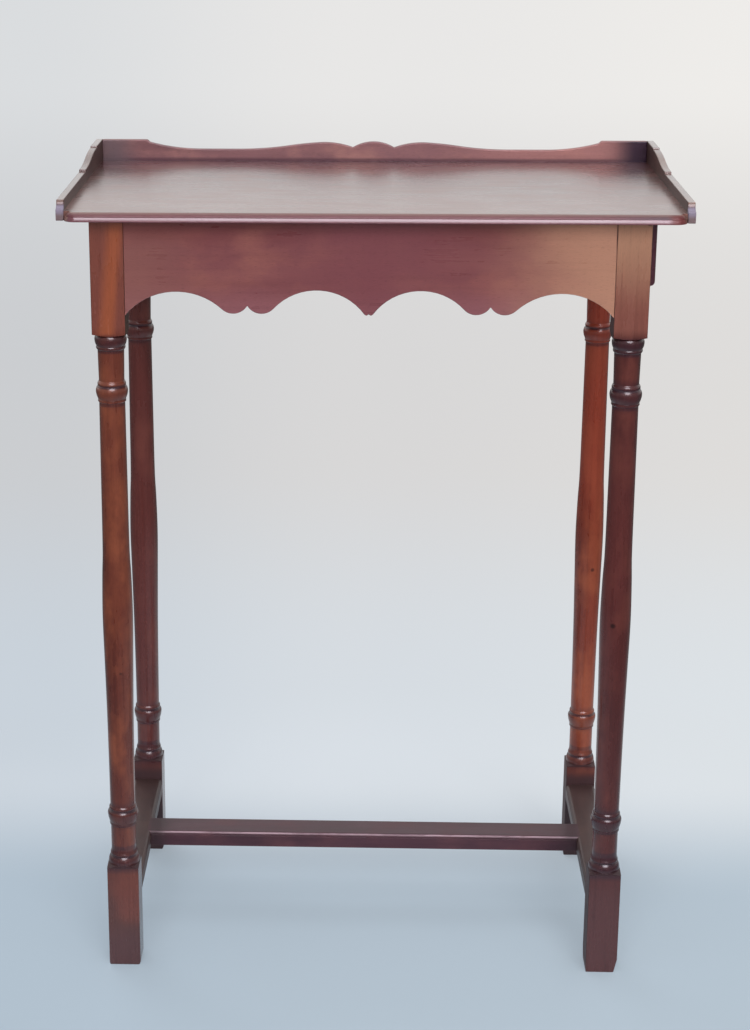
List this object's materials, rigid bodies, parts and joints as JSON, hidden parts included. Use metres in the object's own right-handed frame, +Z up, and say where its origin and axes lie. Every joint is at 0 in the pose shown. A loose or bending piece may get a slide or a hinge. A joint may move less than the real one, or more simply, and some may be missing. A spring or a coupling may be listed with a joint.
{
  "type": "tray top tea table",
  "caption": "Narrow oblong tea table with a galleried tray top, scalloped apron, turned legs on square blocks, an H stretcher and a drawer in one end.",
  "frame": {"origin": "on the floor, under the middle of the whole table's bounding box", "axes": "+Z up; +X towards the drawer end; -Y is the scalloped front, +Y the back with the high gallery"},
  "size_m": [0.5298, 0.3018, 0.7303],
  "materials": {
    "tray_top": "french polished reddish mahogany, gloss",
    "gallery_wood": "french polished mahogany, gloss",
    "leg_wood": "turned and french polished dark red mahogany, gloss",
    "apron_wood": "french polished mahogany, satin gloss",
    "case_wood": "french polished mahogany, satin gloss",
    "stretcher_wood": "french polished mahogany, satin gloss with worn arrises",
    "drawer_face_wood": "french polished mahogany, gloss",
    "inside_wood": "planed oak, unfinished",
    "drawer_lining": "planed oak, unfinished",
    "knob_brass": "old polished brass",
    "screw_steel": "dull steel"
  },
  "bodies": {
    "table": {"top_board": "tray_top", "back_gallery": "gallery_wood", "left_end_gallery": "gallery_wood", "right_end_gallery": "gallery_wood", "leg_front_left": "leg_wood", "leg_front_right": "leg_wood", "leg_back_left": "leg_wood", "leg_back_right": "leg_wood", "front_apron": "apron_wood", "back_rail": "case_wood", "left_end_rail": "case_wood", "drawer_rail": "case_wood", "drawer_runner_front": "inside_wood", "drawer_runner_back": "inside_wood", "drawer_guide_front": "inside_wood", "drawer_guide_back": "inside_wood", "glue_blocks": "inside_wood", "top_screws": "screw_steel", "side_stretcher_left": "stretcher_wood", "side_stretcher_right": "stretcher_wood", "cross_stretcher": "stretcher_wood"},
    "drawer": {"drawer_front": "drawer_face_wood", "drawer_side_front": "drawer_lining", "drawer_side_back": "drawer_lining", "drawer_back": "drawer_lining", "drawer_bottom": "drawer_lining", "drawer_nails": "screw_steel", "drawer_knob": "knob_brass", "knob_nut": "knob_brass"}
  },
  "joints": [
    {"name": "drawer_slide", "type": "slide", "parent": "table", "child": "drawer", "axis": [1, 0, 0], "range_m": [0, 0.3]}
  ]
}
